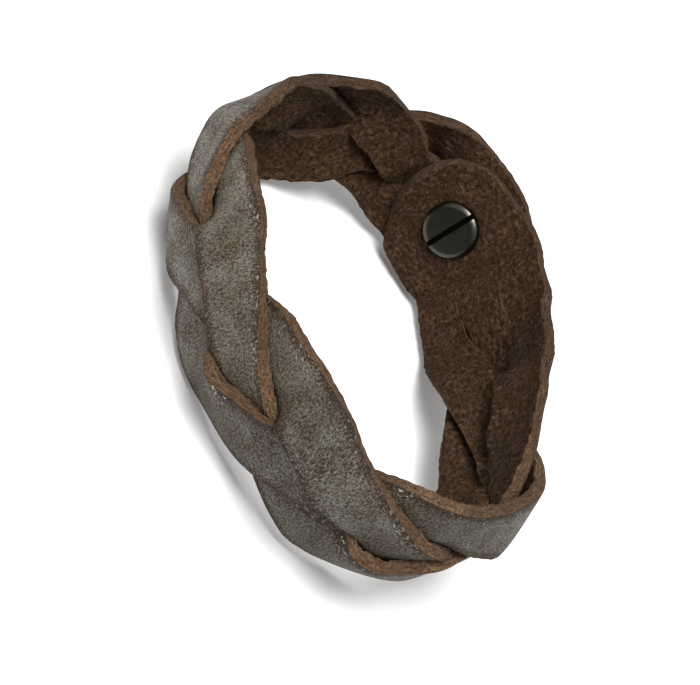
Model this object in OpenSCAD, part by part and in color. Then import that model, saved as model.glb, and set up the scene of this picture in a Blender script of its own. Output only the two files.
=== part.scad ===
// Braided leather cuff bracelet, lying on its side, in millimetres.
// One leather strap is slit twice along its length. Its three strands are braided, and its two
// whole ends lie one on the other and are held by a screw post.
// The origin is on the surface it rests on, under the middle of its box. +Z is along the loop's axis
// and X along its longer width.

/* [Loop] */
// Half of the loop's longer width, to the middle of the leather
loop_half_long = 38.5; // [38:0.5:41]
// Half of the loop's shorter width, to the middle of the leather
loop_half_short = 26; // [25.5:0.5:28]
// Direction of the screw from the middle of the loop, in degrees from the longer width
screw_dir = -34; // [-90:2:0]
// Three-cornered part of the oval, as a share of its radius, and the direction of its corner
loop_egg = 0.09; // [0:0.01:0.12]
loop_egg_dir = -46; // [-60:2:60]
// Four-cornered part of the oval, as a share of its radius, and the direction of its corner
loop_square = 0.04; // [0:0.01:0.05]
loop_square_dir = 39; // [-45:1:45]
// Outward lean of the wall all round, in degrees
lean = 8; // [0:1:12]
// Extra lean on the lean's side, and that side's direction, in degrees
lean_extra = 4; // [0:1:8]
lean_dir = -60; // [-180:5:180]

/* [Leather] */
// Thickness of the leather
leather_t = 1.9; // [1.6:0.1:2]
// Width of one strand, a third of the strap's width
strand_w = 7.5; // [7:0.1:7.6]
// Clear space left between pieces that rest on each other
gap = 0.2; // [0.15:0.05:0.3]
// Width that each slit takes away
slit = 0.8; // [0.8:0.1:1]

/* [Braid] */
// How far a strand's middle swings up and down from the strap's middle
swing = 7; // [6.8:0.1:7.5]
// How far a strand goes in and out as it passes under and over
weave = 2.1; // [2:0.1:2.3]
// Lean of a strand where it turns at a rim, in degrees, towards the wrist
rim_roll = 14; // [12:1:16]

/* [Screw post] */
// Diameter of the slotted head
head_d = 9; // [8:0.5:10]
// Thickness of both heads
head_t = 1.4; // [1:0.1:2]
// Width of the bevel round both heads
head_bevel = 0.4; // [0.2:0.1:0.6]
// Width and depth of the slot
slot_w = 1; // [0.8:0.1:1.2]
slot_deep = 0.7; // [0.5:0.1:0.8]
// Turn of the slot from upright, in degrees
slot_turn = 5; // [0:5:175]
// Diameter of the post's barrel
post_d = 5; // [4:0.5:6]
// Diameter of the screw's shank
shank_d = 3; // [2.5:0.5:3.5]

/* [Hidden] */
// Height of each whole end's middle above the braid's middle
outer_end_up = 0.6;
inner_end_up = -0.6;
// Clearance round the screw's shank and the post's barrel
FIT = 0.1;
// Share of the barrel's depth that the shank fills
SHANK_SHARE = 0.6;

// Rows of the braid, counted round the loop from the screw. The first and the last row are the ends
// of the slits, and each row between them is a crossing of two strands. Place is the row's distance
// along the loop from the screw. Rise says how much higher the strand that turns at a rim there lies
// than its even path, and bulge how far the whole braid lies outside the loop.
PLACE = 0;
RISE = 1;
BULGE = 2;
ROWS = [
  //place, rise, bulge
    [  5.4,  0.0,  1.5],
    [ 16.0,  1.6,  1.4],
    [ 26.5, -0.2,  1.0],
    [ 37.0, -1.0,  0.5],
    [ 47.0, -1.0,  0.3],
    [ 59.0, -2.4,  0.2],
    [ 73.0, -1.4, -0.2],
    [ 88.5, -0.8, -0.3],
    [103.0,  0.3, -0.4],
    [118.5,  1.5, -0.4],
    [135.0,  2.3, -1.0],
    [155.0,  2.2, -0.2],
    [178.5,  1.9,  0.9],
    [195.0,  0.0,  0.0],
];

// The three strands, from the far rim of the uncut strap to its near rim: lane is the strand's place
// in the uncut strap, and top is the row where it turns at the upper rim.
LANE = 0;
TOP = 1;
STRANDS = [[-1, 4], [0, 2], [1, 0]];

// Stations along the strap: fractions of a row in the braid, lengths in the whole ends, and degrees
// in the round tips
STEPS_PER_ROW = 8;
END_STEP = 3;
TIP_STEP = 7.5;
LOOP_STEPS = 240;
// Rows that one whole swing of a strand takes
ROWS_PER_SWING = 6;
// Rows over which the slits open and the strands leave the strap's plane, and the lag of their move
// across it
SLIT_ROWS = 0.25;
FLAT_ROWS = 0.7;
LANE_LAG = 0.3;
// Lengths over which the step between the two layers, and the clamped straight part, fade out
LAYER_FADE = 12;
CLAMP_FADE = 8;
// Shares of the weave and of the lean that bring a strand round the edge of its neighbour
WEAVE_DOUBLE = -0.4;
NEST_LEAN = 6;
NEST_LEAN_TRIPLE = -21;

LAST = len(ROWS) - 1;
strap_w = 3 * strand_w;
tip_r = strap_w / 2;
layer = (leather_t + gap) / 2;

function smooth(x) = let (c = min(max(x, 0), 1)) c * c * (3 - 2 * c);

// Oval of the loop, seen from above, and the distance run along it
function oval_r(a) =
    loop_half_long * loop_half_short
    / norm([loop_half_short * cos(a), loop_half_long * sin(a)])
    * (1 + loop_egg * cos(3 * (a - loop_egg_dir)) + loop_square * cos(4 * (a - loop_square_dir)));
function oval_at(a) = oval_r(a) * [cos(a), sin(a)];
function across(a, b) = let (t = b - a) [t.y, -t.x] / norm(t);
post_out = across(oval_at(screw_dir - 1), oval_at(screw_dir + 1));

// The loop is the oval, pulled straight where the heads clamp it
function loop_at(a) =
    let (p = oval_at(a), q = oval_at(screw_dir) - p, back = q * post_out, far = norm(q))
    p + post_out * back * (1 - smooth((far - head_d / 2) / CLAMP_FADE));
LOOP_ANGLE = 360 / LOOP_STEPS;
function step_angle(n) = screw_dir + n * LOOP_ANGLE;
LOOP_RUN = [
    for (n = 0, run = 0; n <= LOOP_STEPS;
         run = run + norm(loop_at(step_angle(n + 1)) - loop_at(step_angle(n))), n = n + 1)
    [run, step_angle(n)]
];
loop_len = LOOP_RUN[LOOP_STEPS][0];
function loop_angle(s) = lookup(s - loop_len * floor(s / loop_len), LOOP_RUN);
function loop_out(a) = across(loop_at(a - 1), loop_at(a + 1));

// A point of the bracelet: s along the loop, up across the strap, out from the leather's middle
function wall_lean(a) = lean + lean_extra * cos(a - lean_dir);
function place(s, up, out) =
    let (a = loop_angle(s), b = wall_lean(a),
         plan = loop_at(a) + loop_out(a) * (out * cos(b) + up * sin(b)))
    [plan.x, plan.y, up * cos(b) - out * sin(b)];

// How much of the uncut strap's form is left, from 1 at the ends of the slits to 0 in the braid: for
// the strands' depth and lean, and for their place across the strap, which changes later
function flat_left(row) = 1 - smooth(min(row, LAST - row) / FLAT_ROWS);
function lane_left(row) = 1 - smooth(min(row, LAST - row) - LANE_LAG);
// The same for the step between the two layers of whole leather, at this distance from the screw
function layer_left(s) = 1 - smooth((s - tip_r) / LAYER_FADE);

// One column of ROWS at any place between its rows, on a smooth curve through them
function column(row, c) =
    let (k = min(floor(row), LAST - 1), f = row - k, y1 = ROWS[k][c], y2 = ROWS[k + 1][c],
         m1 = k > 0 ? (y2 - ROWS[k - 1][c]) / 2 : y2 - y1,
         m2 = k + 2 <= LAST ? (ROWS[k + 2][c] - y1) / 2 : y2 - y1)
    (2 * f ^ 3 - 3 * f ^ 2 + 1) * y1 + (f ^ 3 - 2 * f ^ 2 + f) * m1
    + (3 * f ^ 2 - 2 * f ^ 3) * y2 + (f ^ 3 - f ^ 2) * m2;

// Rise of a strand: that of its turns, half a swing apart, blended between them
function rise_at(k) = k < 0 || k > LAST ? 0 : ROWS[k][RISE];
function rise(row, top) =
    let (half = ROWS_PER_SWING / 2, k = top + half * floor((row - top) / half), f = 90 * (row - k) / half)
    rise_at(k) * cos(f) ^ 2 + rise_at(k + half) * sin(f) ^ 2;

// Middle of a strand at a row: along, up, out, and its lean
function strand_at(row, strand) =
    let (turn = 360 / ROWS_PER_SWING * (row - strand[TOP]), along = column(row, PLACE),
         first = layer_left(along), last = layer_left(loop_len - along),
         lanes = lane_left(row), flat = flat_left(row),
         lane_up = strand[LANE] * strand_w + (row < LAST / 2 ? outer_end_up : inner_end_up),
         up = swing * cos(turn) + rise(row, strand[TOP]),
         out = weave * (sin(2 * turn) + WEAVE_DOUBLE * sin(4 * turn)) + column(row, BULGE),
         tip = NEST_LEAN * sin(turn) + NEST_LEAN_TRIPLE * sin(3 * turn) - rim_roll * cos(turn))
    [
        along,
        (1 - lanes) * up + lanes * lane_up,
        (1 - flat) * out + (first - last) * layer,
        (1 - flat) * tip,
    ];

// Width of a strand, which loses half of the slit on each side
function cut_width(row) = strand_w - slit * smooth(min(row, LAST - row) / SLIT_ROWS);

// Corners of a strand's cut across: far and near edge outside, then near and far edge inside
CORNERS = [[-1, 1], [1, 1], [1, -1], [-1, -1]];
SMALL_STEP = 0.02;
function strand_corners(row, strand) =
    let (m = strand_at(row, strand), a = strand_at(max(row - SMALL_STEP, 0), strand),
         b = strand_at(min(row + SMALL_STEP, LAST), strand),
         side = across([a[0], a[1]], [b[0], b[1]]))
    [for (e = CORNERS)
        let (wide = e[0] * cut_width(row) / 2, deep = e[1] * leather_t / 2,
             off = -(wide * cos(m[3]) - deep * sin(m[3])))
        place(m[0] + side.x * off, m[1] + side.y * off, m[2] + wide * sin(m[3]) + deep * cos(m[3]))];

// The same for the strap's whole ends, whose width runs out in a round tip
function end_corners(s, half, up, out) =
    [for (strand = STRANDS) [for (e = CORNERS)
        place(s, up + (2 * strand[LANE] + e[0]) * half / 3, out + e[1] * leather_t / 2)]];

outer_end = concat(
    [for (a = [TIP_STEP : TIP_STEP : 90])
        end_corners(-tip_r * cos(a), tip_r * sin(a), outer_end_up, layer)],
    [for (s = [END_STEP : END_STEP : ROWS[0][PLACE] - END_STEP / 2])
        end_corners(s, tip_r, outer_end_up, layer)]);
braid = [for (n = [0 : LAST * STEPS_PER_ROW])
         [for (strand = STRANDS) strand_corners(n / STEPS_PER_ROW, strand)]];
inner_end = concat(
    [for (s = [ROWS[LAST][PLACE] + END_STEP : END_STEP : loop_len - END_STEP / 2])
        end_corners(s, tip_r, inner_end_up, -layer)],
    [for (a = [90 : -TIP_STEP : TIP_STEP])
        end_corners(loop_len + tip_r * cos(a), tip_r * sin(a), inner_end_up, -layer)]);
stations = concat(outer_end, braid, inner_end);
slit_start = len(outer_end);
slit_end = slit_start + len(braid) - 1;

strap_points = [for (station = stations) for (corners = station) for (p = corners) p];
// Number of a corner's point: in the whole ends, neighbouring strands share their edges
function whole_at(n) = n <= slit_start || n >= slit_end;
function point_at(n, k, c) =
    whole_at(n) && k > 0 && (c == 0 || c == 3) ? point_at(n, k - 1, c == 0 ? 1 : 2)
    : (n * len(STRANDS) + k) * len(CORNERS) + c;
function wall_shows(n, k, c) =
    c == 0 || c == 2 || (n >= slit_start && n < slit_end) || (c == 1 && k == 2) || (c == 3 && k == 0);
strap_faces = concat(
    [for (n = [0 : len(stations) - 2]) for (k = [0 : 2]) for (c = [0 : 3]) if (wall_shows(n, k, c))
        let (d = (c + 1) % 4, p = point_at(n, k, c), q = point_at(n, k, d), r = point_at(n + 1, k, d))
        for (f = [[p, q, r], [p, r, point_at(n + 1, k, c)]]) f],
    [for (k = [0 : 2]) [for (c = [3 : -1 : 0]) point_at(0, k, c)]],
    [for (k = [0 : 2]) [for (c = [0 : 3]) point_at(len(stations) - 1, k, c)]]);

// Place of the screw post, through both ends, and the outer surfaces that its heads sit on
post_lean = wall_lean(screw_dir);
post_dir = [post_out.x * cos(post_lean), post_out.y * cos(post_lean), -sin(post_lean)];
seat = gap / 2 + leather_t;
head_r = head_d / 2;
// Rise of a flat head over the middle of the bent leather, and the same on the inside face
head_gap = gap;
inner_seat = seat + head_gap;
outer_seat = seat + head_gap;
post_at = place(0, (outer_end_up + inner_end_up) / 2, 0);

// Lowest point and middle of the whole bracelet
head_face = post_at + post_dir * (outer_seat + head_t);
function reach(axis) = head_r * sqrt(1 - post_dir[axis] ^ 2);
function low(axis) = min(concat([for (p = strap_points) p[axis]], [head_face[axis] - reach(axis)]));
function high(axis) = max(concat([for (p = strap_points) p[axis]], [head_face[axis] + reach(axis)]));
origin = [(low(0) + high(0)) / 2, (low(1) + high(1)) / 2, low(2)];

// Children stand on the middle of the post, with +Z pointing out of the loop
module at_post() {
    translate(post_at - origin) rotate([0, 90 + post_lean, atan2(post_out.y, post_out.x)]) children();
}

module bevelled_head() {
    rotate_extrude($fn = 64) polygon([
        [0, 0], [head_r, 0], [head_r, head_t - head_bevel], [head_r - head_bevel, head_t], [0, head_t]
    ]);
}

module braided_strap() {
    color("#5a4030") difference() {
        translate(-origin) polyhedron(points = strap_points, faces = strap_faces, convexity = 12);
        at_post() cylinder(d = post_d + 2 * FIT, h = 2 * seat + 2, center = true, $fn = 48);
    }
}

module slotted_screw() {
    color("#4a4a46") at_post() {
        difference() {
            translate([0, 0, -inner_seat]) mirror([0, 0, 1]) bevelled_head();
            translate([0, 0, -inner_seat - head_t + slot_deep / 2]) rotate(slot_turn)
                cube([head_d + 1, slot_w, slot_deep * 2], center = true);
        }
        translate([0, 0, -inner_seat - FIT])
            cylinder(d = shank_d, h = inner_seat + seat * SHANK_SHARE, $fn = 32);
    }
}

module screw_post() {
    color("#4a4a46") at_post() {
        translate([0, 0, outer_seat]) bevelled_head();
        difference() {
            translate([0, 0, gap - inner_seat])
                cylinder(d = post_d, h = inner_seat + outer_seat - gap + FIT, $fn = 48);
            translate([0, 0, -inner_seat])
                cylinder(d = shank_d + 2 * FIT, h = inner_seat + seat * SHANK_SHARE + FIT, $fn = 32);
        }
    }
}

braided_strap();
slotted_screw();
screw_post();
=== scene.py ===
# %% [markdown]
# # A braided leather cuff bracelet
# The real bracelet is one strap of leather, slit twice along its length. Its three strands are
# braided, and its two whole ends lie one on the other and are held by a slotted screw and its post.
# The outside is the grain side under a thin pewter-coloured foil that has worn off in specks and
# along the edges. The inside is the raw, napped flesh side, and the cut edges are raw too.
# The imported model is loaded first, as a frame whose sizes stay as they are.

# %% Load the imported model
import math

import bmesh
import bpy
import numpy as np
from mathutils import Matrix


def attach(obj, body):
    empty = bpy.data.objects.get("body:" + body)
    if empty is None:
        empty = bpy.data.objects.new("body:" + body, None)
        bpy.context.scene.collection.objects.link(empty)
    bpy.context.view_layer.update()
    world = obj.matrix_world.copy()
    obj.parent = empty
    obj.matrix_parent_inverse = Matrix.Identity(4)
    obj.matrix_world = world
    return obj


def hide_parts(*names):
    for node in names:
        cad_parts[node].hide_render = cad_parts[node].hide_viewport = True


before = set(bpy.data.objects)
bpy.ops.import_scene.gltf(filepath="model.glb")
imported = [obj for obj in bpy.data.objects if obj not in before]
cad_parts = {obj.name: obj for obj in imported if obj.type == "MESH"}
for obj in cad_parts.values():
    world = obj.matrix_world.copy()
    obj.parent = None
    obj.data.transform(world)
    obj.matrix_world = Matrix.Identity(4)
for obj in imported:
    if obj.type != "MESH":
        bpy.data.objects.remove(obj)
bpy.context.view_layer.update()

MM = 0.001

# %% [markdown]
# ## Camera
# The camera comes first, so that each piece can be looked at as it is made. It looks down on the
# bracelet, which lies on its side, and it is turned about its own axis, because the picture shows
# the loop aslant. A long lens keeps the near and the far side close to the same size.


# %% Two helpers that place things in the scene
def in_scene(name, data):
    """A new object for this mesh, camera or light, linked to the scene."""
    made = bpy.data.objects.new(name, data)
    bpy.context.scene.collection.objects.link(made)
    return made


def turned_to(x, y, z, at):
    """The matrix that turns an object's axes to x, y and z and puts its origin at this place."""
    matrix = np.eye(4)
    matrix[:3] = np.column_stack([x, y, z, at])
    return Matrix(matrix.tolist())


# %% Camera at the picture's angle
PICTURE_WIDE, FOCAL_PX, SENSOR_MM, NEAREST = 700.0, 1922.0, 36.0, 0.01
LOOK_AROUND, LOOK_DOWN, ROLL = np.radians([-125.6, 33.6, -52.0])
LOOP_MIDDLE = np.array([0.950, -0.307, 12.848])
CAMERA_AWAY = 270.9
OFF_RIGHT_PX, OFF_DOWN_PX = 10.2, -31.3

back = np.array([math.sin(LOOK_AROUND) * math.cos(LOOK_DOWN),
                 -math.cos(LOOK_AROUND) * math.cos(LOOK_DOWN), math.sin(LOOK_DOWN)])
level = np.array([math.cos(LOOK_AROUND), math.sin(LOOK_AROUND), 0.0])
upright = np.cross(back, level)
picture_x = math.cos(ROLL) * level - math.sin(ROLL) * upright
picture_y = math.sin(ROLL) * level + math.cos(ROLL) * upright
eye = (LOOP_MIDDLE + CAMERA_AWAY * back) * MM

# The loop's middle is a little off the picture's middle, so the camera is aimed beside it
aim = back + picture_x * OFF_RIGHT_PX / FOCAL_PX - picture_y * OFF_DOWN_PX / FOCAL_PX
aim /= np.linalg.norm(aim)
aim_x = picture_x - aim * (picture_x @ aim)
aim_x /= np.linalg.norm(aim_x)

camera_data = bpy.data.cameras.new("camera")
camera_data.sensor_width = SENSOR_MM
camera_data.lens = FOCAL_PX * SENSOR_MM / PICTURE_WIDE
camera_data.clip_start = NEAREST
camera = in_scene("camera", camera_data)
camera.matrix_world = turned_to(aim_x, np.cross(aim, aim_x), aim, eye)
bpy.context.scene.camera = camera
print("lens, mm:", round(camera_data.lens, 1))

# %% [markdown]
# ## The loop that the leather follows
# A wrist cuff is an oval, a little egg-shaped and a little square, pulled straight where the two
# flat heads clamp it. These are the same formulas and sizes as in the model's source, worked out
# here on whole arrays, so that the leather lies where its solid is.

# %% Sizes of the loop, in millimetres and degrees
half_long, half_short, screw_dir = 38.5, 26.0, -34.0
egg, egg_dir, square, square_dir = 0.09, -46.0, 0.04, 39.0
lean, lean_extra, lean_dir = 8.0, 4.0, -60.0
head_d, CLAMP_FADE, LOOP_STEPS = 9.0, 8.0, 240
ORIGIN = np.array([-0.950081, 0.307184, -12.8479])


def cosd(a):
    """Cosine of an angle in degrees."""
    return np.cos(np.radians(a))


def sind(a):
    """Sine of an angle in degrees."""
    return np.sin(np.radians(a))


def smooth(x):
    """A soft step: 0 up to 0, 1 from 1 on, and 3 x squared less 2 x cubed between them."""
    c = np.clip(x, 0.0, 1.0)
    return c * c * (3.0 - 2.0 * c)


def oval_at(a):
    """Point of an ellipse at angle a, its radius changed by a three- and a four-sided wave."""
    r = half_long * half_short / np.hypot(half_short * cosd(a), half_long * sind(a))
    r = r * (1.0 + egg * cosd(3.0 * (a - egg_dir)) + square * cosd(4.0 * (a - square_dir)))
    return np.stack([r * cosd(a), r * sind(a)], axis=-1)


print("the screw's place on the oval, mm:", np.round(oval_at(np.array(screw_dir)), 2))


# %% Distance along the loop, and a point on its wall
def across(t):
    """Direction a quarter turn clockwise from t, of length 1."""
    return np.stack([t[..., 1], -t[..., 0]], axis=-1) / np.linalg.norm(t, axis=-1, keepdims=True)


clamp_at = oval_at(np.array(screw_dir))
clamp_out = across(oval_at(np.array(screw_dir + 1.0)) - oval_at(np.array(screw_dir - 1.0)))


def loop_at(a):
    """Point of the oval, moved out to the clamp's straight line near the screw, and fading back."""
    p = oval_at(np.asarray(a, float))
    q = clamp_at - p
    keep = 1.0 - smooth((np.linalg.norm(q, axis=-1) - head_d / 2) / CLAMP_FADE)
    return p + clamp_out * ((q @ clamp_out) * keep)[..., None]


step_angles = screw_dir + np.arange(LOOP_STEPS + 1) * 360.0 / LOOP_STEPS
loop_steps = np.linalg.norm(np.diff(loop_at(step_angles), axis=0), axis=1)
loop_run = np.concatenate([[0.0], np.cumsum(loop_steps)])
loop_len = loop_run[-1]


def place(s, up, out):
    """Point s along the loop, up across the leaning wall and out from it, in millimetres."""
    a = np.interp(np.mod(s, loop_len), loop_run, step_angles)
    b = lean + lean_extra * cosd(a - lean_dir)
    outward = across(loop_at(a + 1) - loop_at(a - 1))
    plan = loop_at(a) + outward * (out * cosd(b) + up * sind(b))[..., None]
    return np.concatenate([plan, (up * cosd(b) - out * sind(b))[..., None]], axis=-1) - ORIGIN


print("length round the loop, mm:", round(loop_len, 2))

# %% [markdown]
# ## The braid
# In a braid of three, each strand swings from rim to rim and passes over one neighbour and under
# the next. So a strand is a wave across the strap, and a wave of twice its pace in and out. The
# strap's ends stay whole, and a braid that is made without free ends turns as often one way as
# the other, so each strand comes back to its own lane. The solid is the same braid, pulled a
# little looser. Here it is drawn tight, so its waves are lower and its slits narrower.

# %% Rows of the braid
leather_t, strand_w, gap, slit = 1.9, 7.5, 0.2, 0.1
swing, weave, rim_roll = 6.56, 1.66, 20.7
outer_end_up, inner_end_up = 0.6, -0.6
rows = np.array([
    # place, rise, bulge
    [5.4, 0.0, 1.5],
    [14.8, 2.6, 1.4],
    [26.4, -0.2, 1.0],
    [37.1, -1.0, 0.5],
    [46.8, -1.0, 0.3],
    [59.0, -2.4, 0.2],
    [72.3, -1.4, -0.2],
    [89.3, -1.1, -0.3],
    [102.9, 0.3, -0.4],
    [118.7, 1.1, -0.4],
    [134.1, 3.0, -1.5],
    [154.7, 3.8, -0.2],
    [178.6, 1.9, 0.9],
    [195.0, 0.0, 0.0],
])
PLACE, RISE, BULGE = 0, 1, 2
FAR, MIDDLE, NEAR = 0, 1, 2
lanes, tops = np.array([-1.0, 0.0, 1.0]), np.array([4.0, 2.0, 0.0])
LAST = len(rows) - 1
tip_r = 1.5 * strand_w
layer = (leather_t + gap) / 2
SLIT_ROWS, FLAT_ROWS, LANE_LAG, LAYER_FADE = 0.25, 0.7, 0.3, 12.0
WEAVE_DOUBLE, NEST_LEAN, NEST_LEAN_TRIPLE = -0.4, 3.24, -14.3


def column(row, c):
    """A column of the table at any place between rows, on a smooth curve through its values."""
    k = np.clip(np.floor(row).astype(int), 0, LAST - 1)
    f, y = row - k, rows[:, c]
    y1, y2 = y[k], y[k + 1]
    m1 = np.where(k > 0, (y2 - y[np.maximum(k - 1, 0)]) / 2, y2 - y1)
    m2 = np.where(k + 2 <= LAST, (y[np.minimum(k + 2, LAST)] - y1) / 2, y2 - y1)
    return ((2 * f**3 - 3 * f**2 + 1) * y1 + (f**3 - 2 * f**2 + f) * m1
            + (3 * f**2 - 2 * f**3) * y2 + (f**3 - f**2) * m2)


def rise_at(k):
    """The rise of row k, and none beyond the table."""
    inside = (k >= 0) & (k <= LAST)
    return np.where(inside, rows[np.clip(k, 0, LAST).astype(int), RISE], 0.0)


print("rows of the braid:", LAST, " width of the uncut strap, mm:", 3 * strand_w)

# %% [markdown]
# ## A strand's middle line
# No braid made by hand is even. Where one strand was drawn or spread more than the rest, a short
# table says so: over how many rows to each side, how far up and out in millimetres, how much wider
# below and above its middle, and how many degrees more it leans.

# %% A strand's middle line
pulls = [
    # strand, row, reach, up, out, wider below, wider above, lean
    (NEAR, 0.9, 0.9, 0.0, 0.0, 1.1, 0.0, 0.0),
    (MIDDLE, 1.3, 0.8, -0.6, 0.0, 0.0, 0.0, 0.0),
    (MIDDLE, 2.5, 1.0, 0.8, 0.0, 0.0, 0.0, 0.0),
    (FAR, 2.7, 1.2, 1.3, 0.0, 0.9, 0.0, 0.0),
    (FAR, 3.9, 0.8, -0.8, 0.0, 0.0, 0.0, 0.0),
    (NEAR, 9.2, 1.5, -0.8, -0.8, 0.0, 2.6, 0.0),
    (MIDDLE, 12.6, 0.7, -0.3, 0.8, 0.0, 0.0, 12.0),
    (NEAR, 12.6, 0.7, -0.1, -1.5, 1.2, 0.0, 12.0),
]
UP, OUT, BELOW, ABOVE, TIP = 0, 1, 2, 3, 4


def pulled(row, lane, what):
    """Sum of the pulls on a strand: each fades as a cosine squared over its reach."""
    total = 0.0 * row
    for strand, at_row, reach, *pull in pulls:
        near_it = np.clip((row - at_row) / reach, -1.0, 1.0)
        total = total + pull[what] * cosd(90.0 * near_it) ** 2 * (lane == lanes[strand])
    return total


def strand_middle(row, lane, top):
    """Along, up, out and lean of a strand: a wave across, a wave of twice the pace in and out."""
    turn = 60.0 * (row - top)
    along = column(row, PLACE)
    left = np.minimum(row, LAST - row)
    flat, in_lane = 1.0 - smooth(left / FLAT_ROWS), 1.0 - smooth(left - LANE_LAG)
    first = 1.0 - smooth((along - tip_r) / LAYER_FADE)
    last = 1.0 - smooth((loop_len - along - tip_r) / LAYER_FADE)
    k = top + 3.0 * np.floor((row - top) / 3.0)
    f = 30.0 * (row - k)
    rise = rise_at(k) * cosd(f) ** 2 + rise_at(k + 3.0) * sind(f) ** 2
    lane_up = lane * strand_w + np.where(row < LAST / 2, outer_end_up, inner_end_up)
    up = swing * cosd(turn) + rise + pulled(row, lane, UP)
    out = weave * (sind(2 * turn) + WEAVE_DOUBLE * sind(4 * turn))
    out = out + column(row, BULGE) + pulled(row, lane, OUT)
    tip = NEST_LEAN * sind(turn) + NEST_LEAN_TRIPLE * sind(3 * turn) - rim_roll * cosd(turn)
    tip = tip + pulled(row, lane, TIP)
    return (along, (1 - in_lane) * up + in_lane * lane_up,
            (1 - flat) * out + (first - last) * layer, (1 - flat) * tip)


print("places where a strand was drawn or spread:", len(pulls))

# %% [markdown]
# ## One strand's cut across
# Strap leather is cut with a blade, so its edges are square, but wear rounds them. The cut across
# is a rounded oblong: two long faces, two short walls, and a small arc at each corner. Where a slit
# starts, the walls have no arcs yet, and these grow along the slit, so the strap stays one skin.

# %% Points round a strand
EDGE_ROUND = 0.28
FACE_POINTS, ARC_POINTS, WALL_POINTS = 15, 4, 4
HALF_T = leather_t / 2

quarter = np.linspace(0.0, 90.0, ARC_POINTS)
arc_s, arc_c = sind(quarter), cosd(quarter)
face_run = np.linspace(0.0, 1.0, FACE_POINTS)
wall_run = np.linspace(1.0, -1.0, WALL_POINTS)


def strand_section(half, far_round, near_round):
    """Across and depth of the points round a strand: outer face, near wall, inner face, far wall."""
    h, f, n = half[..., None], far_round[..., None], near_round[..., None]
    width = 2 * h - f - n
    sides = [
        (-h + f + width * face_run, HALF_T + 0 * h * face_run),
        (h - n + n * arc_s[1:], HALF_T - n * (1 - arc_c[1:])),
        (h + 0 * wall_run[1:], (HALF_T - n) * wall_run[1:]),
        (h - n + n * arc_c[1:], -HALF_T + n - n * arc_s[1:]),
        (h - n - width * face_run[1:], -HALF_T + 0 * h * face_run[1:]),
        (-h + f - f * arc_s[1:], -HALF_T + f * (1 - arc_c[1:])),
        (-h + 0 * wall_run[1:], -(HALF_T - f) * wall_run[1:]),
        (-h + f - f * arc_c[1:-1], HALF_T - f + f * arc_s[1:-1]),
    ]
    return [np.concatenate([np.broadcast_to(side[c], h.shape[:-1] + side[c].shape[-1:])
                            for side in sides], axis=-1) for c in (0, 1)]


GRAIN, EDGE, FLESH = 0, 1, 2
face_steps, arc_steps, wall_steps = FACE_POINTS - 1, ARC_POINTS - 1, WALL_POINTS - 1
edge_steps = 2 * arc_steps + wall_steps
skin = np.repeat([GRAIN, GRAIN, EDGE, FLESH, EDGE, GRAIN],
                 [face_steps, 1, edge_steps - 2, face_steps + 2, edge_steps - 2, 1])
ROUND = len(skin)
print("points round a strand:", ROUND)

# %% [markdown]
# ## Wear
# A blade guided by hand leaves a cut that wavers, and wear crumbles it. The napped side is uneven,
# in tufts and in long soft hollows, and the grain side has faint folds. Each is soft noise of its
# own height and wave length, added as real relief.

# %% Wear of faces and edges
# Height and wave length of each, in millimetres
TUFTS, HOLLOWS, FOLDS = (0.08, 1.2), (0.07, 3.5), (0.03, 6.0)
CUT_WAVER, CUT_CRUMBS = (0.09, 8.0), (0.035, 1.5)


def ripple(u, v, high, long, seed, terms=28):
    """Soft noise: a sum of sine waves in random directions, of about this height and wave length."""
    pick = np.random.default_rng(seed)
    way = pick.uniform(0.0, 2 * np.pi, terms)
    pace = 2 * np.pi / (long * pick.uniform(0.7, 1.5, terms))
    start = pick.uniform(0.0, 2 * np.pi, terms)
    total = np.zeros(np.broadcast(u, v).shape)
    for w, p, c in zip(way, pace, start):
        total += np.sin(p * (np.cos(w) * u + np.sin(w) * v) + c)
    return high * (total * np.sqrt(2.0 / terms))


def worn(along, uncut, depth, wall):
    """How far the points move out from the face and from the wall: hand-cut edges, napped flesh."""
    outside = smooth((depth / HALF_T + 1) / 2)
    nap = ripple(along, uncut, *TUFTS, 3) + ripple(along, uncut, *HOLLOWS, 4)
    face = outside * ripple(along, uncut, *FOLDS, 5) - (1 - outside) * nap
    edge = ripple(along, uncut * 3, *CUT_WAVER, 6)
    edge = edge + ripple(along, depth * 2 + uncut * 3, *CUT_CRUMBS, 7)
    return face, edge * wall


print("height of the nap, mm: about", round(TUFTS[0] + HOLLOWS[0], 2))

# %% [markdown]
# ## The whole ends
# The surface is a grid: stations along the strap, three strands, and the points round each. In
# the whole ends the three share their edges and run out in a round tip, where the leather's
# thickness is rounded by the distance from the cut outline. Under the heads of the screw and its
# post the leather swells until it meets them.

# %% Stations of the outer end, the braid and the inner end
STATION_STEP, TIP_STEP, FINE_PER_ROW, SHORT_OF_BRAID = 0.4, 3.0, 60, 0.1
tip_angles = np.arange(0.0, 90.0, TIP_STEP)
braid_rows = np.linspace(0.0, LAST, FINE_PER_ROW * LAST + 1)
wanted = np.arange(rows[0, PLACE], rows[-1, PLACE], STATION_STEP)
braid_rows = np.concatenate([np.interp(wanted, column(braid_rows, PLACE), braid_rows), [LAST]])
outer_run = np.concatenate([-tip_r * cosd(tip_angles),
                            np.arange(0.0, rows[0, PLACE] - SHORT_OF_BRAID, STATION_STEP)])
inner_run = np.concatenate([np.arange(rows[-1, PLACE] + STATION_STEP, loop_len, STATION_STEP),
                            loop_len + tip_r * cosd(tip_angles[::-1])])
print("stations:", len(outer_run), len(braid_rows), len(inner_run))

# %% Points of the whole ends
# How far the leather swells under a head, and how far round the post, in millimetres
PUFF, PUFF_ROUND, PUFF_FADE = 0.19, 5.3, 3.0
ROUNDING_ERROR = 1e-6


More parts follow.
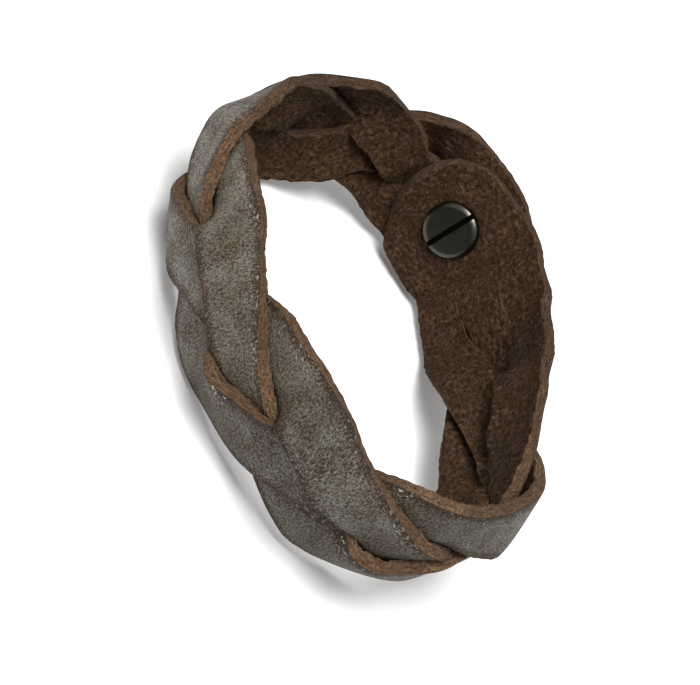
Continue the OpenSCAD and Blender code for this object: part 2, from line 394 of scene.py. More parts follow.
def from_post(s):
    """Distance along the loop from the post, either way round."""
    return (s + loop_len / 2) % loop_len - loop_len / 2


def whole_end(s, from_tip, up_middle, out_middle):
    """Points of a whole end: thirds of the width, rounded by their distance from the outline."""
    beyond = np.minimum(from_tip, 0.0)
    half = np.where(from_tip < 0, np.sqrt(np.maximum(tip_r**2 - beyond**2, 0.0)), tip_r)
    third = half / 3
    rounded = np.minimum(EDGE_ROUND, third)
    none = 0 * rounded
    parts = [strand_section(third, rounded, none), strand_section(third, none, none),
             strand_section(third, none, rounded)]
    wide = np.stack([part[0] for part in parts], axis=1) + 2 * lanes[:, None] * third[:, None, None]
    from_cut = tip_r - np.hypot(beyond[:, None, None], wide)
    outline = np.minimum(from_cut, EDGE_ROUND)
    drop = EDGE_ROUND - np.sqrt(np.maximum(EDGE_ROUND**2 - (EDGE_ROUND - outline) ** 2, 0.0))
    square_cut = strand_section(np.array([1.0]), np.array([EDGE_ROUND]), np.array([EDGE_ROUND]))[1][0]
    on_wall = np.abs(square_cut) < HALF_T - EDGE_ROUND - ROUNDING_ERROR
    outward = np.where(square_cut > 0, 1.0, -1.0)
    depth = np.where(on_wall, square_cut, outward * (HALF_T - drop))
    along = np.broadcast_to(s[:, None, None], wide.shape)
    face, edge = worn(along, wide, depth, (outline < EDGE_ROUND) * 1.0)
    near_post = np.hypot(from_post(s)[:, None, None], wide + up_middle)
    under_head = (1 - smooth((near_post - PUFF_ROUND) / PUFF_FADE)) * (outward == np.sign(out_middle))
    deep = depth + face + PUFF * under_head * np.sign(out_middle)
    points = place(along, up_middle + wide + edge * np.sign(wide), out_middle + deep)
    return points, wide, depth, from_cut


outer_pts, outer_wide, outer_deep, outer_rim = whole_end(outer_run, outer_run, outer_end_up, layer)
inner_pts, inner_wide, inner_deep, inner_rim = whole_end(
    inner_run, loop_len - inner_run, inner_end_up, -layer)
print("points of the whole ends:", outer_wide.size, inner_wide.size)

# %% [markdown]
# ## Strands drawn tight
# Pulled leather spreads a little, and more on the inside of each bend, which closes the small
# three-cornered holes of a loose braid. Where one strand crosses another, their faces touch. So
# each strand is treated as a height over the unrolled wall. Where two of them overlap, each takes
# half of the space between them, and the moves are smoothed along the strand, as leather is stiff.
# The strands don't come quite clear of one another: about 7 % of the skin ends up inside another
# strand, mostly less than 0.8 mm deep, and 1.2 mm deep at the deepest place that was measured.
# Drawn tight over one another, the strands also bow a little across, by 0.3 mm in the middle.

# %% Widths of the strands
SPREAD, BEND_SPREAD, CROWN, DRAWN_ROWS = 1.1, 0.8, 0.3, 1.2
ROW_STEP = 0.02
row = np.repeat(braid_rows[:, None], 3, axis=1)
lane, top = np.broadcast_to(lanes, row.shape), np.broadcast_to(tops, row.shape)
along, up, out, tip = strand_middle(row, lane, top)
tip_c, tip_s = cosd(tip)[..., None], sind(tip)[..., None]
before = strand_middle(np.maximum(row - ROW_STEP, 0.0), lane, top)
after = strand_middle(np.minimum(row + ROW_STEP, LAST), lane, top)
onward = np.stack([after[0] - before[0], after[1] - before[1]], axis=-1)
side = across(onward)
pace = onward / (2 * ROW_STEP)

left = np.minimum(row, LAST - row)
open_slit = smooth(left / SLIT_ROWS)
drawn = smooth(left / DRAWN_ROWS)
bend = cosd(60.0 * (row - top))
half = (strand_w - slit * open_slit + SPREAD * drawn) / 2
below = drawn * BEND_SPREAD * np.maximum(bend, 0.0) + pulled(row, lane, BELOW)
above = drawn * BEND_SPREAD * np.maximum(-bend, 0.0) + pulled(row, lane, ABOVE)
print("widest strand, mm:", round(float((2 * half + below + above).max()), 1))

# %% Strands as heights over the unrolled wall
SAMPLES, JUST_INSIDE = 13, 0.001
sample_run = np.linspace(-1.0, 1.0, SAMPLES)
extra = np.where(sample_run > 0, above[..., None], below[..., None])
sampled = half[..., None] * sample_run + extra * sample_run
flat_s = along[..., None] - side[..., :1] * sampled * tip_c
flat_v = up[..., None] - side[..., 1:] * sampled * tip_c
height = out[..., None] + sampled * tip_s


def look_up(table, k, at_row, share):
    """Value of strand k's table at a row and a share of its half width, between its samples."""
    i = np.interp(at_row, braid_rows, np.arange(len(braid_rows)))
    i = np.clip(i, 0, len(braid_rows) - 1 - JUST_INSIDE)
    j = np.clip((share + 1) / 2 * (SAMPLES - 1), 0, SAMPLES - 1 - JUST_INSIDE)
    i0, j0 = i.astype(int), j.astype(int)
    fi, fj = i - i0, j - j0
    grid = table[:, k]
    return ((1 - fi) * ((1 - fj) * grid[i0, j0] + fj * grid[i0, j0 + 1])
            + fi * ((1 - fj) * grid[i0 + 1, j0] + fj * grid[i0 + 1, j0 + 1]))


print("heights of the strands, mm:", np.round([height.min(), height.max()], 2))

# %% Where two strands cross
SEARCHES, SEARCH_EASE = 6, 0.8
OVERLAP_END, OVERLAP_FADE = 1.08, 0.16
CROSSING_REACH, CROSSING_FADE = 1.35, 0.3


def crossing(k, j):
    """Where strand k's samples fall on strand j: row, share of its width, overlap and over or under.

    The row is found by a few steps along strand j towards the sample. Two strands cross every
    three rows, and a crossing that would lie in the whole ends is left out.
    """
    at_row = np.repeat(braid_rows[:, None], SAMPLES, axis=1)
    for _ in range(SEARCHES):
        at = [np.interp(at_row, braid_rows, q[:, j]) for q in (along, up, pace[..., 0], pace[..., 1])]
        ds, dv = flat_s[:, k] - at[0], flat_v[:, k] - at[1]
        step = (ds * at[2] + dv * at[3]) / (at[2] ** 2 + at[3] ** 2)
        at_row = np.clip(at_row + SEARCH_EASE * step, 0.0, LAST)
    at = [np.interp(at_row, braid_rows, q[:, j]) for q in (along, up, side[..., 0], side[..., 1], tip)]
    off = -((flat_s[:, k] - at[0]) * at[2] + (flat_v[:, k] - at[1]) * at[3]) / cosd(at[4])
    wider = [np.interp(at_row, braid_rows, q[:, j]) for q in (half, above, below)]
    share = off / (wider[0] + np.where(off > 0, wider[1], wider[2]))
    overlap = smooth((OVERLAP_END - np.abs(share)) / OVERLAP_FADE)
    third_top = tops[3 - k - j]
    between = (at_row + braid_rows[:, None]) / 2 - third_top
    nearest = 3.0 * np.round(between / 3.0)
    cross_row = third_top + nearest
    over = np.sign(sind(120.0 * (cross_row - tops[k])))
    meets = (cross_row > 0) & (cross_row < LAST)
    meets = meets * smooth((CROSSING_REACH - np.abs(between - nearest)) / CROSSING_FADE)
    return at_row, np.clip(share, -1, 1), overlap * meets, over


pairs = {(k, j): crossing(k, j) for k in range(3) for j in range(3) if j != k}
print("samples that lie on another strand:", sum(int((pair[2] > 0.5).sum()) for pair in pairs.values()))

# %% Let the strands settle on one another
ROUNDS, SMOOTHINGS, MOVE_EASE = 60, 3, 0.8
NAP_SPACE, MOST_MOVED, HELD_ROWS = 0.12, 1.6, 0.9
lift = np.zeros_like(height)
for _ in range(ROUNDS):
    now = height + lift
    move, weight = np.zeros_like(lift), np.zeros_like(lift)
    for (k, j), (at_row, share, overlap, over) in pairs.items():
        apart = over * (now[:, k] - look_up(now, j, at_row, share))
        space = apart - (leather_t + NAP_SPACE) / tip_c[:, k]
        move[:, k] -= 0.5 * over * space * overlap
        weight[:, k] += overlap
    lift = lift + MOVE_EASE * move / np.maximum(weight, 1.0)
    for _ in range(SMOOTHINGS):
        lift[1:-1] = 0.25 * (lift[:-2] + lift[2:]) + 0.5 * lift[1:-1]
    lift[..., 1:-1] = 0.25 * (lift[..., :-2] + lift[..., 2:]) + 0.5 * lift[..., 1:-1]
    lift = np.clip(lift, -MOST_MOVED, MOST_MOVED) * smooth(left / HELD_ROWS)[..., None]
print("strands moved in or out by, mm:", np.round([lift.min(), lift.max()], 2),
      " mean:", round(float(np.abs(lift).mean()), 2))

# %% Points of the braid
# Where a slit has only begun, its sides count as this far from a cut, so that they show no wear
UNCUT_RIM, WALL_SHARE = 4.0, 0.999
far_round = np.where(lane < 0, EDGE_ROUND, EDGE_ROUND * open_slit)
near_round = np.where(lane > 0, EDGE_ROUND, EDGE_ROUND * open_slit)
wide, deep = strand_section(half, far_round, near_round)
share = wide / half[..., None]
uncut = wide + (lane * strand_w)[..., None]
on_rim = np.sign(wide) == lane[..., None]
rim = half[..., None] - np.abs(wide) + (1 - open_slit)[..., None] * UNCUT_RIM * ~on_rim
far_or_near = np.where(wide < 0, far_round[..., None], near_round[..., None])
face, edge = worn(along[..., None], uncut, deep, (rim < far_or_near * WALL_SHARE) * 1.0)
edge = edge * np.where(on_rim, 1.0, open_slit[..., None])
shifted = wide + edge * np.sign(wide) + share * np.where(wide > 0, above[..., None], below[..., None])
bow = (1.0 - np.minimum(np.abs(share), 1.0) ** 2) * drawn[..., None]
deeper = deep + face + CROWN * bow
off = -(shifted * tip_c - deeper * tip_s)
settled = np.stack([look_up(lift, k, np.broadcast_to(braid_rows[:, None], share[:, k].shape),
                            np.clip(share[:, k], -1, 1)) for k in range(3)], axis=1)
braid_pts = place(along[..., None] + side[..., :1] * off, up[..., None] + side[..., 1:] * off,
                  out[..., None] + shifted * tip_s + deeper * tip_c + settled)
print("points of the braid:", wide.size)

# %% Join the three runs into one grid
points = np.concatenate([outer_pts, braid_pts, inner_pts])
uncut = np.concatenate([outer_wide, uncut, inner_wide])
depth = np.concatenate([outer_deep, deep, inner_deep])
rim = np.concatenate([outer_rim, rim, inner_rim])
stretch = np.linalg.norm(np.diff(braid_pts.mean(axis=2), axis=0), axis=-1).mean(axis=1)
braid_along = rows[0, PLACE] + np.concatenate([[0.0], np.cumsum(stretch)])
run = np.concatenate([outer_run, braid_along, braid_along[-1] + inner_run - rows[-1, PLACE]])
slit_start, slit_end = len(outer_run), len(outer_run) + len(braid_rows) - 1
print("grid:", points.shape, " leather's own length, mm:", round(run[-1] - run[0], 1))

# %% [markdown]
# ## From grid to mesh
# Each cell of the grid is a quad. In the whole ends the walls between strands are left out, and
# points that fall together are merged, so the strap is one skin. The last cell counts the edges
# that stay open: ten, at the inner end of one slit, where the near strand starts half a millimetre
# too wide to meet its neighbour. The strap's own map, in centimetres, runs along the leather and
# across it, and down the cut edges.

# %% Faces of the strap
STATIONS = len(points)
number = np.arange(points.size // 3).reshape(points.shape[:3])
place_round = np.arange(ROUND)[None, None, :]
near_wall = (place_round >= face_steps) & (place_round < face_steps + edge_steps)
far_wall = place_round >= 2 * face_steps + edge_steps
whole = (np.arange(STATIONS - 1) < slit_start) | (np.arange(STATIONS - 1) >= slit_end)
whole = whole[:, None, None]
strand_i = np.arange(3)[None, :, None]
shown = ~(whole & near_wall & (strand_i < 2)) & ~(whole & far_wall & (strand_i > 0))

beside = np.roll(number, -1, axis=2)
quads = np.stack([number[:-1], number[1:], beside[1:], beside[:-1]], axis=-1)[shown]
skin_of = np.broadcast_to(skin, shown.shape)
print("faces:", len(quads))

# %% The strap's own map
FLESH_AWAY = 40.0


def pattern_at(u, v, d, kind):
    """Place on the leather, in centimetres: along it, and across its face or down its cut edge.

    The flesh side's map lies beside the grain side's, so that the two patterns differ.
    """
    down = np.where(kind == EDGE, HALF_T - d, 0.0) * np.sign(v)
    return np.stack([u, np.where(kind == FLESH, FLESH_AWAY - v, v + down)], axis=-1) / 10.0


along_leather = np.broadcast_to(run[:, None, None], uncut.shape)
uv = []
for step, turn_on in [(0, 0), (1, 0), (1, 1), (0, 1)]:
    corner = [np.roll(g, -turn_on, axis=2)[step:STATIONS - 1 + step] for g in (along_leather, uncut, depth)]
    uv.append(pattern_at(*corner, skin_of)[shown])
uv = np.stack(uv, axis=1)
print("map reaches, cm:", np.round(uv.reshape(-1, 2).max(axis=0), 1))


# %% Build the strap's mesh
def note(mesh, name, values):
    """Gives each point of a mesh a number, which a material reads by this name."""
    flat = np.asarray(values).reshape(-1).astype(np.float32)
    mesh.attributes.new(name, "FLOAT", "POINT").data.foreach_set("value", flat)


SAME_PLACE = 2e-7
strap_mesh = bpy.data.meshes.new("braided_leather_strap")
strap_mesh.from_pydata((points * MM).reshape(-1, 3).tolist(), [], quads.tolist())
strap_mesh.uv_layers.new(name="leather_cm").data.foreach_set("uv", uv.reshape(-1).astype(np.float32))
note(strap_mesh, "from_rim_mm", np.maximum(rim, 0.0))
note(strap_mesh, "near_side", uncut - (lanes * strand_w)[None, :, None] > 0)
strap_mesh.polygons.foreach_set("material_index", skin_of[shown].astype(np.int32))
strap_mesh.polygons.foreach_set("use_smooth", np.ones(len(quads), bool))

bm = bmesh.new()
bm.from_mesh(strap_mesh)
bm.verts.ensure_lookup_table()
in_ends = np.ones(points.shape[:3], bool)
in_ends[slit_start + 1:slit_end] = False
ends = [bm.verts[i] for i in np.flatnonzero(in_ends.ravel())]
bmesh.ops.remove_doubles(bm, verts=ends, dist=SAME_PLACE)
bmesh.ops.delete(bm, geom=[v for v in bm.verts if not v.link_faces], context="VERTS")
open_edges = sum(1 for e in bm.edges if len(e.link_faces) != 2)
bm.to_mesh(strap_mesh)
bm.free()
strap = in_scene("leather_strap", strap_mesh)
print("strap:", len(strap_mesh.polygons), "faces, open edges:", open_edges)

# %% [markdown]
# ## The screw and its post
# A screw post, also called a Chicago screw, is turned on a lathe from brass and plated dark. Its
# head is a thin disc with an eased shoulder, and a slot is sawn across it. So it is made as a
# profile carried round an axis, and the slot is cut out of it.

# %% The post's axis
head_t, head_bevel, slot_w, slot_deep, slot_turn = 1.4, 0.4, 0.85, 0.7, 5.0
post_d, shank_d, FIT, SHANK_SHARE, SHANK_SPACE = 5.0, 3.0, 0.1, 0.6, 0.3
seat = gap / 2 + leather_t + gap
post_at = place(np.array(0.0), np.array((outer_end_up + inner_end_up) / 2), np.array(0.0))
post_lean = lean + lean_extra * cosd(screw_dir - lean_dir)
post_dir = np.append(clamp_out * cosd(post_lean), -sind(post_lean))
turn_x = np.array([post_dir[2] * clamp_out[0], post_dir[2] * clamp_out[1], -(post_dir[:2] @ clamp_out)])
turn_y = np.cross(post_dir, turn_x)
print("screw at, mm:", np.round(post_at, 2), " pointing", np.round(post_dir, 3))

# %% Turned pieces
TURN_POINTS, TOUCHING = 96, 1e-7


def close_up(mesh):
    """Merges the points of a mesh that fall together and turns its faces outwards."""
    shell = bmesh.new()
    shell.from_mesh(mesh)
    bmesh.ops.remove_doubles(shell, verts=shell.verts, dist=TOUCHING)
    bmesh.ops.recalc_face_normals(shell, faces=shell.faces)
    shell.to_mesh(mesh)
    shell.free()


def turned(name, profile):
    """A lathe piece: each (radius, height) of the profile is carried round the post's axis."""
    r, h = np.array(profile).T
    a = np.arange(TURN_POINTS) * 360.0 / TURN_POINTS
    ring = cosd(a)[:, None] * turn_x + sind(a)[:, None] * turn_y
    grid = post_at + r[:, None, None] * ring + h[:, None, None] * post_dir
    n = np.arange(grid.size // 3).reshape(grid.shape[:2])
    m = np.roll(n, -1, axis=1)
    cells = np.stack([n[:-1], m[:-1], m[1:], n[1:]], axis=-1).reshape(-1, 4)
    mesh = bpy.data.meshes.new(name)
    mesh.from_pydata((grid * MM).reshape(-1, 3).tolist(), [], cells.tolist())
    close_up(mesh)
    return in_scene(name, mesh)


# The shoulder of the head: how far in from the rim and down from the face, in millimetres
shoulder = [(1.2, 0.0), (0.85, 0.01), (0.72, 0.04), (0.25, 0.62 * head_bevel), (0.1, head_bevel),
            (0.0, head_bevel + 0.2)]
UNDER_EDGE = 0.05


def head_profile(way):
    """The head from its middle out, on one side: flat face, eased shoulder, rim and flat underside."""
    r, face = head_d / 2, seat + head_t
    outline = [(0.0, face)] + [(r - inwards, face - down) for inwards, down in shoulder]
    outline += [(r, seat + UNDER_EDGE), (r - UNDER_EDGE, seat)]
    return [(x, way * y) for x, y in outline]


shank_end = seat * SHANK_SHARE - seat
screw = turned("slotted_head", head_profile(-1) + [
    (shank_d / 2, -seat), (shank_d / 2, shank_end), (0.0, shank_end)])
post = turned("post_head", head_profile(1) + [
    (post_d / 2, seat), (post_d / 2, gap - seat), (shank_d / 2 + FIT, gap - seat),
    (shank_d / 2 + FIT, shank_end + SHANK_SPACE), (0.0, shank_end + SHANK_SPACE)])
print("turned faces:", len(screw.data.polygons), len(post.data.polygons))

# %% Saw the slot
PAST_HEAD = 0.5
cutter_mesh = bpy.data.meshes.new("slot_cutter")
cube = np.array([[x, y, z] for x in (-1, 1) for y in (-1, 1) for z in (-1, 1)], float)
slot_along = cosd(slot_turn) * turn_x + sind(slot_turn) * turn_y
slot_across = np.cross(slot_along, post_dir)
cut_low, cut_high = -(seat + head_t + PAST_HEAD), -(seat + head_t - slot_deep)
box = (post_at + cube[:, :1] * (head_d / 2 + PAST_HEAD) * slot_along
       + cube[:, 1:2] * slot_w / 2 * slot_across
       + ((cut_low + cut_high) / 2 + cube[:, 2:] * (cut_high - cut_low) / 2) * post_dir)
cutter_mesh.from_pydata((box * MM).tolist(), [], [(0, 1, 3, 2), (4, 6, 7, 5), (0, 4, 5, 1),
                                                  (2, 3, 7, 6), (0, 2, 6, 4), (1, 5, 7, 3)])
close_up(cutter_mesh)
cutter = in_scene("slot_cutter", cutter_mesh)
saw = screw.modifiers.new("slot", "BOOLEAN")
saw.operation, saw.solver, saw.object = "DIFFERENCE", "EXACT", cutter
sawn = bpy.data.meshes.new_from_object(screw.evaluated_get(bpy.context.evaluated_depsgraph_get()))
screw.modifiers.remove(saw)
screw.data = sawn
bpy.data.objects.remove(cutter)
print("slotted head:", len(screw.data.polygons), "faces")

# %% How far each point of the turned pieces lies from their axis, and below the head's face
SHARP_FROM = 38
for piece in (screw, post):
    mesh = piece.data
    at = np.empty(len(mesh.vertices) * 3, np.float32)
    mesh.vertices.foreach_get("co", at)
    at = at.reshape(-1, 3) / MM - post_at
    on_axis = at @ post_dir
    note(mesh, "from_axis_mm", np.linalg.norm(at - on_axis[:, None] * post_dir, axis=1))
    note(mesh, "sunk_mm", seat + head_t - np.abs(on_axis))
    mesh.polygons.foreach_set("use_smooth", np.ones(len(mesh.polygons), bool))
    mesh.set_sharp_from_angle(angle=math.radians(SHARP_FROM))
    print(piece.name, "points:", len(mesh.vertices))

# %% [markdown]
# ## Materials
# Each material is a small tree of nodes. Patterns on the leather read the strap's own map, in
# centimetres, so they follow the leather round every bend. Patterns on the metal read the object's
# coordinates, in metres.


# %% Colours and nodes
def linear(code):
    """An sRGB hex colour as the linear values that the nodes use."""
    c = np.array([int(code[i:i + 2], 16) for i in (1, 3, 5)]) / 255.0
    c = np.where(c <= 0.04045, c / 12.92, ((c + 0.055) / 1.055) ** 2.4)
    return (*c.tolist(), 1.0)


def add(tree, kind, settings=None, result=0, **inputs):
    """Adds a node with its settings and links, and gives back one of its results.

    An input is named as in Blender, with _ for a space, or by its number after an i. A value that
    is another node's result is linked. The stops of a colour ramp are pairs of place and colour.
    A MapRange takes the range from i1 to i2 to the range from i3 to i4.
    """
    made = tree.nodes.new("ShaderNode" + kind)
    for key, value in (settings or {}).items():
        if key != "stops":
            setattr(made, key, value)
            continue
        while len(made.color_ramp.elements) < len(value):
            made.color_ramp.elements.new(1.0)
        for stop, (at, colour) in zip(made.color_ramp.elements, value):
            stop.position = at
            stop.color = linear(colour) if isinstance(colour, str) else (colour, colour, colour, 1.0)
    for key, value in inputs.items():
        socket = made.inputs[int(key[1:]) if key[1:].isdigit() else key.replace("_", " ")]
        if isinstance(value, bpy.types.NodeSocket):
            tree.links.new(value, socket)
        else:
            socket.default_value = value
    return made.outputs[result] if len(made.outputs) else made


def new_material(name):
    """A material without nodes, and its tree."""
    mat = bpy.data.materials.new(name)
    mat.use_nodes = True
    mat.node_tree.nodes.clear()
    return mat, mat.node_tree


PLUS, MINUS, TIMES = {"operation": "ADD"}, {"operation": "SUBTRACT"}, {"operation": "MULTIPLY"}
BETWEEN, COVER = {"data_type": "FLOAT"}, {"data_type": "RGBA"}
TINT = {"data_type": "RGBA", "blend_type": "MULTIPLY"}
HALF_WAY_CM = run[-1] / 20.0
# Where the grain side's painted shade is darkest, in centimetres along the leather
MOST_SHADED_CM = HALF_WAY_CM + 1.3


def away_along(tree, where, from_cm):
    """Distance along the leather from a place on it, in centimetres."""
    along_cm = add(tree, "SeparateXYZ", i0=where)
    return add(tree, "Math", {"operation": "ABSOLUTE"}, i0=add(
        tree, "Math", MINUS, i0=along_cm, i1=from_cm))


print("half way along the leather, cm:", round(HALF_WAY_CM, 1))

# %% [markdown]
# ## Foil-finished grain leather
# The grain side is dyed taupe, and a thin metallic foil was pressed on it. The foil sits on the
# tops of the grain's pebbles, about 0.3 mm apart, and has rubbed off the creases between them, so
# brown shows through in fine specks. Nearly opposite the clasp the colour is painted darker: this is
# painted shade. Along the edges of the strands the foil has lifted in small bright flakes, which on
# the near edges also carry a painted highlight. Half metal and half leather, it has a soft, broken shine.

# %% Where the foil is left on
GRAIN_PER_CM, PATCH_PER_CM = 32.0, 2.4
foil, t = new_material("foil_finished_grain_leather")
where = add(t, "UVMap", {"uv_map": "leather_cm"})
rim_mm = add(t, "Attribute", {"attribute_name": "from_rim_mm"}, 2)
pebble = add(t, "TexNoise", Vector=where, Scale=GRAIN_PER_CM, Detail=4.0, Roughness=0.62)
scuff_at = add(t, "Mapping", Vector=where, Rotation=(0.0, 0.0, 0.3), Scale=(1.6, 0.5, 1.0))
scuff = add(t, "TexNoise", Vector=scuff_at, Scale=GRAIN_PER_CM * 0.8, Detail=3.0, Roughness=0.6)
patch = add(t, "TexNoise", Vector=where, Scale=PATCH_PER_CM, Detail=3.0, Roughness=0.55)
fine = add(t, "TexNoise", Vector=where, Scale=GRAIN_PER_CM * 2.6, Detail=2.0, Roughness=0.6)
mottle = add(t, "Mix", BETWEEN, Factor=0.35, A=pebble, B=scuff)
edge_rub = add(t, "MapRange", Value=rim_mm, i1=0.25, i2=1.5, i3=0.10, i4=0.0)
patch_rub = add(t, "MapRange", Value=patch, i1=0.3, i2=0.7, i3=0.06, i4=-0.04)
rub = add(t, "Math", PLUS, i0=edge_rub, i1=patch_rub)
left_on = add(t, "Math", MINUS, i0=mottle, i1=rub)
print("pebbles of the grain, mm apart:", round(10 / GRAIN_PER_CM, 2))

# %% Colour of the foil and of the dye under it, with painted shade
HANDLED_PER_CM = 0.45
colour = add(t, "ValToRGB", {"stops": [
    (0.39, "#2c1e14"), (0.44, "#483729"), (0.48, "#584e41"), (0.53, "#69675d"), (0.61, "#80827a")]},
    Fac=left_on)
colour = add(t, "Mix", TINT, 2, Factor=0.5, A=colour,
             B=add(t, "ValToRGB", {"stops": [(0.3, 0.5), (0.65, 1.0)]}, Fac=fine))
handled = add(t, "TexNoise", Vector=where, Scale=HANDLED_PER_CM, Detail=2.0, Roughness=0.5)
colour = add(t, "Mix", TINT, 2, Factor=1.0, A=colour,
             B=add(t, "ValToRGB", {"stops": [(0.40, "#d6d1c6"), (0.60, "#ffffff")]}, Fac=handled))
# Painted shade: the colour gets darker towards the place nearly opposite the clasp
painted_shade_opposite_clasp = add(t, "MapRange", Value=away_along(t, where, MOST_SHADED_CM),
                  i1=1.0, i2=3.2, i3=0.66, i4=1.0)
colour = add(t, "Mix", TINT, 2, Factor=1.0, A=colour, B=painted_shade_opposite_clasp)
print("patches darkened by handling, cm apart:", round(1 / HANDLED_PER_CM, 1))

# %% Flakes of lifted foil along the edges, with painted highlight on the near edges
FLAKE_PER_CM, LIFTED_PER_CM = 26.0, 1.7
near_side = add(t, "Attribute", {"attribute_name": "near_side"}, 2)
flake_at = add(t, "Mapping", Vector=where, Scale=(0.6, 1.0, 1.0))
flake = add(t, "TexNoise", Vector=flake_at, Scale=FLAKE_PER_CM, Detail=3.0, Roughness=0.7)
flake_and_highlight_edge = add(t, "ValToRGB", {"stops": [(0.03, 0.0), (0.10, 1.0), (0.30, 0.5), (0.7, 0.0)]},
                 Fac=add(t, "Math", TIMES, i0=rim_mm, i1=0.25))
# Stronger on the near side: this part is painted highlight on the near edges
flake_and_highlight_edge = add(t, "Math", TIMES, i0=flake_and_highlight_edge, i1=add(
    t, "MapRange", Value=near_side, i1=0.0, i2=1.0, i3=0.35, i4=1.0))
lifted = add(t, "TexNoise", Vector=where, Scale=LIFTED_PER_CM, Detail=2.0, Roughness=0.6)
flake_least = add(t, "MapRange", Value=lifted, i1=0.35, i2=0.65, i3=0.68, i4=0.54)
flake_most = add(t, "Math", MINUS, i0=flake, i1=flake_least)
flake_most = add(t, "Math", {"operation": "MULTIPLY", "use_clamp": True}, i0=flake_most, i1=18.0)
flake_and_highlight_on = add(t, "Math", TIMES, i0=flake_and_highlight_edge, i1=flake_most)
# The pale flake colour is partly lifted foil and partly painted highlight
colour = add(t, "Mix", COVER, 2, Factor=flake_and_highlight_on, A=colour, B=linear("#a5a39a"))
print("flakes, mm across: about", round(10 / FLAKE_PER_CM, 1))

# %% Shine and relief of the foil
FOIL_RELIEF = 0.22
shine = add(t, "ValToRGB", {"stops": [(0.42, 0.0), (0.55, 0.3)]}, Fac=left_on)
shine = add(t, "Math", {"operation": "MAXIMUM"}, i0=shine, i1=add(t, "Math", TIMES, i0=flake_and_highlight_on, i1=0.6))
rough = add(t, "MapRange", Value=left_on, i1=0.4, i2=0.62, i3=0.75, i4=0.48)
height = add(t, "Math", PLUS, i0=left_on, i1=add(t, "Math", TIMES, i0=fine, i1=0.25))
height = add(t, "Math", PLUS, i0=height, i1=add(t, "Math", TIMES, i0=flake_and_highlight_on, i1=0.25))
relief = add(t, "Bump", Strength=1.0, Distance=FOIL_RELIEF * MM, Height=height)
add(t, "OutputMaterial", Surface=add(t, "BsdfPrincipled", Base_Color=colour, Roughness=rough,
                                     Metallic=shine, Specular_IOR_Level=0.25, Normal=relief))
print("nodes of the foil finish:", len(t.nodes))

# %% [markdown]
# ## Raw cut edge
# The strands were cut with a blade and left raw. The fibres show end on, in thin layers about
# 0.35 mm apart that run along the cut, crumbled by wear into crumbs of about 0.4 mm. Near the
# clasp the edge is painted darker, as painted shade. Dry fibre has next to no shine.

# %% Raw cut edge
LAYERS_PER_CM, CRUMBS_PER_CM, SOIL_PER_CM, CUT_RELIEF = 18.0, 26.0, 1.4, 0.5
cut, t = new_material("raw_cut_edge_leather")
where = add(t, "UVMap", {"uv_map": "leather_cm"})
layer_at = add(t, "Mapping", Vector=where, Scale=(0.3, 1.6, 1.0))
layers = add(t, "TexNoise", Vector=layer_at, Scale=LAYERS_PER_CM, Detail=4.0, Roughness=0.6)
crumb = add(t, "TexNoise", Vector=where, Scale=CRUMBS_PER_CM, Detail=5.0, Roughness=0.7)
dirt = add(t, "TexNoise", Vector=where, Scale=SOIL_PER_CM, Detail=2.0, Roughness=0.5)
tone = add(t, "Mix", BETWEEN, Factor=0.6, A=layers, B=crumb)
colour = add(t, "ValToRGB", {"stops": [
    (0.36, "#241b13"), (0.45, "#433325"), (0.53, "#5e4936"), (0.66, "#836950")]}, Fac=tone)
colour = add(t, "Mix", COVER, 2, Factor=add(
    t, "ValToRGB", {"stops": [(0.4, 0.0), (0.65, 0.45)]}, Fac=dirt), A=colour, B=linear("#3a2a20"))
# Painted shade: the cut edge is darker near the clasp, at both ends of the strap
edge_painted_shade = add(t, "MapRange", Value=away_along(t, where, HALF_WAY_CM), i1=4.5, i2=7.0, i3=1.0, i4=0.62)
colour = add(t, "Mix", TINT, 2, Factor=1.0, A=colour, B=edge_painted_shade)
relief = add(t, "Bump", Strength=1.0, Distance=CUT_RELIEF * MM, Height=tone)
add(t, "OutputMaterial", Surface=add(t, "BsdfPrincipled", Base_Color=colour, Roughness=0.95,
                                     Specular_IOR_Level=0.12, Normal=relief))
print("crumbs of the cut edge, mm apart:", round(10 / CRUMBS_PER_CM, 2))

# %% [markdown]
# ## Napped flesh side
# The inside was never sanded, so it is a felt of loose fibres, in clumps about 0.8 mm wide that lie
# in all directions. Real fibres are thinner than the picture can show, so they are drawn about
# 0.4 mm wide. Over the nap's own brown, the tips are painted light and the pits nearly black, as painted
# highlight and painted shade.

# %% Napped flesh side
FIBRE_PER_CM, CLUMP_PER_CM, HAND_PER_CM, SWAY_PER_CM = 12.0, 13.0, 2.6, 9.0
SWAY_CM, FLESH_RELIEF = 0.16, 0.9


def fibres(tree, bent, slant, per_cm, seed):
    """A layer of fibres that lie at this slant: noise that is 2.2 times finer across them."""
    lying = add(tree, "Mapping", Vector=bent, Location=(seed, 0.0, 0.0), Rotation=(0.0, 0.0, slant),
                Scale=(1.0, 2.2, 1.0))
    return add(tree, "TexNoise", Vector=lying, Scale=per_cm, Detail=4.0, Roughness=0.62)


